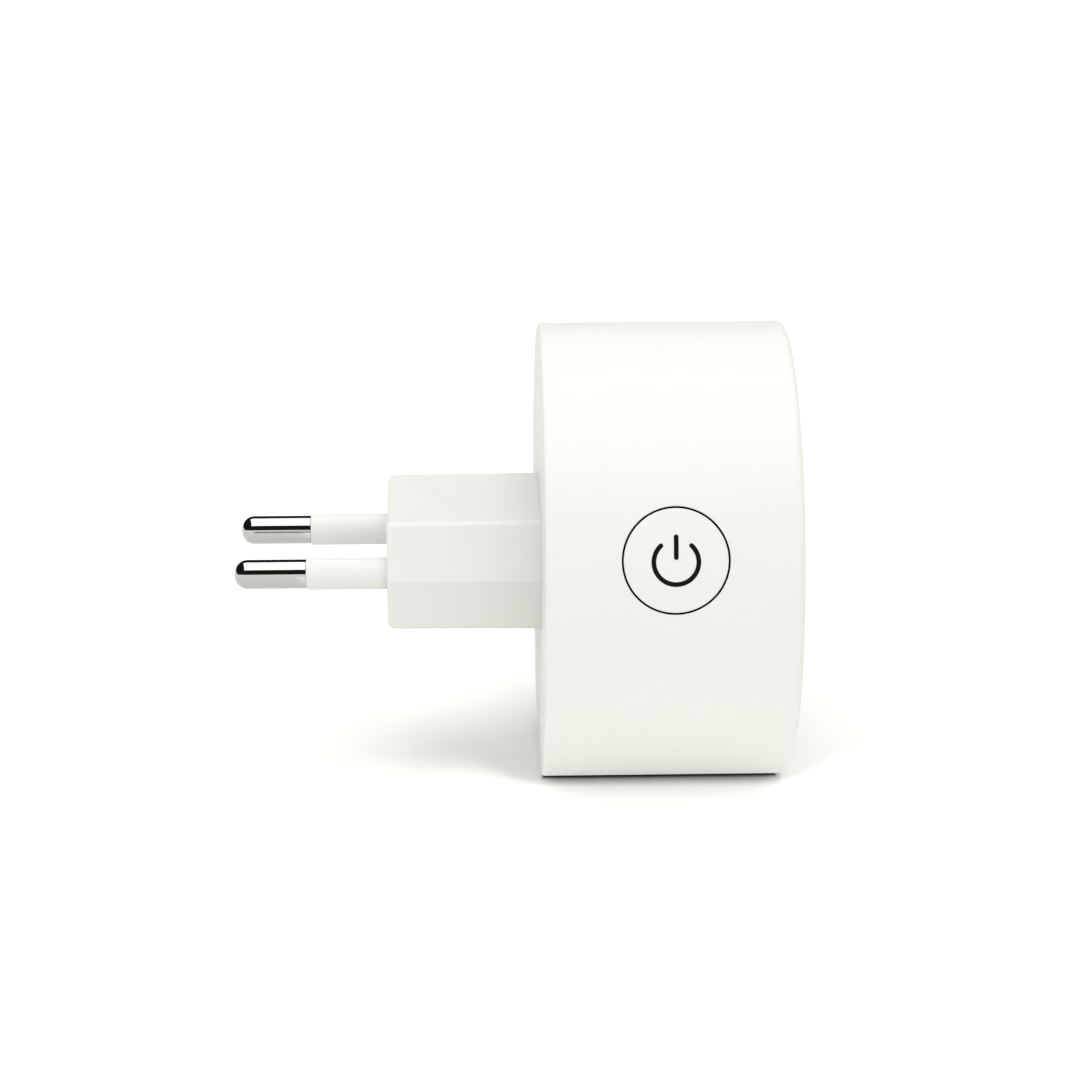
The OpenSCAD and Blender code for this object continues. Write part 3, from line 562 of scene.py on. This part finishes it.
# ---------------------------------------------------------------- button and its mark
def build_button():
    s = Skin()
    # the top follows the body's side wall: distance from the button's axis, and drop below that wall
    top = [(rho, 0.0) for rho in (0.05, 0.8, 1.6, 2.4, 3.2, 4.0, 4.8, 5.6, 6.2, CAP_R - SOFT)]
    for k in range(1, 7):
        t = math.radians(15 * k)
        top.append((CAP_R - SOFT + SOFT * math.sin(t), SOFT * (1 - math.cos(t))))
    # the rest is turned: distance from the button's axis, and height
    turned = [(CAP_R, FLANGE_TOP), (FLANGE_R, FLANGE_TOP), (FLANGE_R, CAP_FOOT), (POCKET_R, CAP_FOOT)]
    turned += [(POCKET_R, POCKET_TOP), (STEM_R, POCKET_TOP), (STEM_R, CAP_FOOT), (0.0005, CAP_FOOT)]
    around = [2 * math.pi * k / 144 for k in range(144)]
    rings = []
    for rho, drop in top:
        rings.append(s.ring([on_side(rho * math.cos(a), rho * math.sin(a), BODY_R, -drop) for a in around]))
    for rho, w in turned:
        rings.append(s.ring([at_button(rho * math.cos(a), rho * math.sin(a), w) for a in around]))
    s.face(rings[0])
    # the cap's rounded edge and its side are painted black, as the shade in the gap round the cap
    dark_from = len(top) - 2
    for i, (a, b) in enumerate(zip(rings, rings[1:])):
        s.join(a, b, 1 if i >= dark_from else 0)
    return s.piece("button_cap", ["button_plastic", "gap_shadow"], "button", "power_button")


# the print's section: share of its half width, and height above the cap in mm. Its edges are sunk
# into the cap, and so are the last few rows of its round ends, where it is narrower than STROKE_TIP
STROKE_FOOT, STROKE_TIP = -0.03, 0.12
STROKE = [(-1.0, STROKE_FOOT), (-0.985, 0.008), (-0.93, 0.022), (-0.6, 0.03), (0.0, 0.032),
          (0.6, 0.03), (0.93, 0.022), (0.985, 0.008), (1.0, STROKE_FOOT)]


def build_icon():
    """The power mark as a raised print with soft edges, on the cap's curved top."""
    s = Skin()
    half = ICON_LINE / 2
    mid_r = ICON_R - half

    def stroke(path):
        """A raised line along a path of ((u, v), direction) pairs, with round ends."""
        rows = [(point, way, half) for point, way in path]
        quarter = [math.radians(90 * k / 12) for k in range(1, 13)]
        for (point, way), sign in ((path[0], -1), (path[-1], 1)):
            end = []
            for a in quarter:
                d = sign * half * math.sin(a)
                end.append(((point[0] + way[0] * d, point[1] + way[1] * d), way, max(half * math.cos(a), 1e-4)))
            rows = end[::-1] + rows if sign < 0 else rows + end
        rings = []
        for (u, v), (du, dv), width in rows:
            ring = []
            for share, lift in STROKE:
                lift = lift if width > half * STROKE_TIP else STROKE_FOOT
                ring.append(on_side(u - dv * share * width, v + du * share * width - ICON_DROP, BODY_R, lift))
            rings.append(s.ring(ring))
        s.join_all(rings, wrap=False)

    start, stop = math.pi / 2 + ICON_GAP, math.pi / 2 - ICON_GAP + 2 * math.pi
    angles = [start + (stop - start) * k / 96 for k in range(97)]
    stroke([((mid_r * math.cos(a), mid_r * math.sin(a)), (-math.sin(a), math.cos(a))) for a in angles])
    foot, top = ICON_BAR
    stroke([((0.0, foot + (top - foot) * k / 16), (0.0, 1.0)) for k in range(17)])
    return s.piece("power_mark", ["icon_black"], "button", "button_icon", sharp=80)


build_housing()
build_boss()
build_pins()
build_cover()
build_button()
build_icon()


# ---------------------------------------------------------------- floor
FLOOR_HALF, FLOOR_CELLS, FLOOR_GAP = 3000.0, 12, 0.002
PAPER = (0.75, 0.757, 0.735)
# Painted light: the floor glows in front of the object, so that the front of the floor stays white and the object's
# shadow there is washed out. Along Y it rises from the first place to the second, and it fades out to the left and
# right of the object.
PAINTED_FLOOR_GLOW, GLOW_COLOUR = 0.39, (1.0, 1.0, 0.985, 1)
GLOW_FROM, GLOW_TO = -7.4, -12.0
GLOW_X, GLOW_NONE_AT, GLOW_FULL_AT = (0.0, 33.2), 42.0, 2.0
# Beside the object it starts this much farther back, so that the shadow there fades without an edge.
GLOW_BACK, BACK_NONE_AT, BACK_FULL_AT = 11.0, 0.5, 12.0
# Painted shadow: the floor is painted dark in a strip under the object, so that the line where they touch reads as
# a crisp contact shadow. Its ends are three times as sharp as its front.
STRIP_X, STRIP_Y, STRIP_SHADOW_COLOUR = (0.9, 32.4), (-6.0, 0.0), (0.01, 0.01, 0.01, 1)
STRIP_NONE_AT, STRIP_FULL_AT, STRIP_END_SHARPER = 2.6, 1.0, 3.0


def floor_finish():
    made = material("floor_paper_painted_light", PAPER, 0.9, vary=0.004, rough_vary=0.03, grain=0.8, bump=0.02, patch=60.0,
                    specular=0.0)
    wires = Wires(made.node_tree)
    shader = made.node_tree.nodes["Principled BSDF"]
    split = wires.add("SeparateXYZ", {0: wires.add("TexCoord").outputs["Object"]})
    x, y = split.outputs["X"], split.outputs["Y"]

    # painted light on the floor: it glows in front of the object, and less far out to the sides
    aside = wires.past(x, GLOW_X)
    back = wires.ease(aside, BACK_NONE_AT * MM, BACK_FULL_AT * MM, GLOW_BACK * MM)
    ahead = wires.ease(y, wires.calc("ADD", back, GLOW_FROM * MM), GLOW_TO * MM, PAINTED_FLOOR_GLOW)
    glow = wires.calc("MULTIPLY", ahead, wires.ease(aside, GLOW_NONE_AT * MM, GLOW_FULL_AT * MM))
    wires.put(glow, shader.inputs["Emission Strength"])
    shader.inputs["Emission Color"].default_value = GLOW_COLOUR

    # painted contact shadow: darkens the floor's colour in the strip under the object
    ends = wires.calc("MULTIPLY", wires.past(x, STRIP_X), STRIP_END_SHARPER)
    outside = wires.calc("MAXIMUM", ends, wires.past(y, STRIP_Y))
    painted_strip_shadow = wires.ease(outside, STRIP_NONE_AT * MM, STRIP_FULL_AT * MM)
    paper = shader.inputs["Base Color"].links[0].from_socket
    wires.put(wires.mix_colour(painted_strip_shadow, paper, STRIP_SHADOW_COLOUR), shader.inputs["Base Color"])
    return made


def build_floor():
    s = Skin()
    lines = [-FLOOR_HALF + 2 * FLOOR_HALF * k / FLOOR_CELLS for k in range(FLOOR_CELLS + 1)]
    s.join_all([s.ring([(x, y, FOOT_Z - FLOOR_GAP) for y in lines]) for x in lines], wrap=False)
    mesh = s.mesh("floor")
    mesh.materials.append(floor_finish())
    place("floor", mesh)


build_floor()


# ---------------------------------------------------------------- light
# Gloss sees its own studio, in half turns round X from the camera's side (0) over the top (0.5): a
# long softbox overhead that reaches so far along X, a pale band low on the near side, and a faint rest.
AMBIENT, AMBIENT_COLOUR, STUDIO_COLOUR = 1.19, (1.0, 1.0, 0.985, 1), (1.0, 1.0, 0.97, 1)
BOX_LIGHT, BOX_NEAR, BOX_FAR, BOX_REACH = 2.3, (0.285, 0.305), (0.717, 0.70), (0.44, 0.36)
BAND_LIGHT, BAND_TOP, BAND_FOOT = 1.3, (0.10, 0.08), (-0.6, -0.5)
FAINT_LIGHT = 0.015
# name, angle round the object (0 is the camera's side, 90 is +X) and height in degrees, strength
SOFT_LIGHTS = [("overhead", 0, 88, 1.15), ("front_left", -45, 30, 0.42), ("right", 90, 30, 0.2)]
LIGHT_SPREAD, LIGHT_COLOUR = 40.0, (1.0, 1.0, 0.985)


def build_world():
    world = bpy.data.worlds.new("studio")
    bpy.context.scene.world = world
    world.use_nodes = True
    world.node_tree.nodes.clear()
    wires = Wires(world.node_tree)
    split = wires.add("SeparateXYZ", {0: wires.add("TexCoord").outputs["Generated"]})
    x, y, z = split.outputs["X"], split.outputs["Y"], split.outputs["Z"]
    turn = wires.calc("DIVIDE", wires.calc("ARCTAN2", z, wires.calc("MULTIPLY", y, -1.0)), math.pi)
    box = wires.calc("MULTIPLY", wires.ease(turn, *BOX_NEAR), wires.ease(turn, *BOX_FAR))
    box = wires.calc("MULTIPLY", box, wires.ease(wires.calc("ABSOLUTE", x), *BOX_REACH, BOX_LIGHT))
    band = wires.calc("MULTIPLY", wires.ease(turn, *BAND_TOP), wires.ease(turn, *BAND_FOOT, BAND_LIGHT))
    strength = wires.calc("ADD", wires.calc("ADD", box, band), FAINT_LIGHT)
    plain = wires.add("Background", {"Color": AMBIENT_COLOUR, "Strength": AMBIENT})
    studio = wires.add("Background", {"Color": STUDIO_COLOUR, "Strength": strength})
    glossy = wires.add("LightPath").outputs["Is Glossy Ray"]
    both = wires.add("MixShader", {0: glossy, 1: plain.outputs[0], 2: studio.outputs[0]})
    wires.add("OutputWorld", {0: both.outputs[0]})


def soft_light(name, turn, height, strength):
    turn, height = math.radians(turn), math.radians(height)
    toward = Vector((math.sin(turn) * math.cos(height), -math.cos(turn) * math.cos(height), math.sin(height)))
    light = bpy.data.lights.new(name, "SUN")
    light.energy = strength
    light.angle = math.radians(LIGHT_SPREAD)
    light.color = LIGHT_COLOUR
    o = place(name, light)
    o.rotation_euler = toward.to_track_quat("Z", "Y").to_euler()
    o.visible_glossy = False


build_world()
for light in SOFT_LIGHTS:
    soft_light(*light)

# ---------------------------------------------------------------- camera, at the photograph's viewing angle
CAMERA_AT = (-13.0, -443.0, 151.7)
CAMERA_YAW, CAMERA_PITCH = math.radians(1.70), math.radians(18.74)
SENSOR, FRAME_PIXELS, FOCAL_PIXELS = 36.0, 1080.0, 3362.0


def build_camera():
    camera = bpy.data.cameras.new("camera")
    camera.lens = FOCAL_PIXELS / FRAME_PIXELS * SENSOR
    camera.sensor_width = SENSOR
    camera.clip_start, camera.clip_end = 0.01, 20.0
    eye = place("camera", camera)
    eye.location = [c * MM for c in CAMERA_AT]
    level = math.cos(CAMERA_PITCH)
    look = Vector((math.sin(CAMERA_YAW) * level, math.cos(CAMERA_YAW) * level, -math.sin(CAMERA_PITCH)))
    eye.rotation_euler = look.to_track_quat("-Z", "Y").to_euler()
    bpy.context.scene.camera = eye


build_camera()
bpy.context.scene.view_settings.view_transform = "Standard"
bpy.context.scene.view_settings.look = "None"
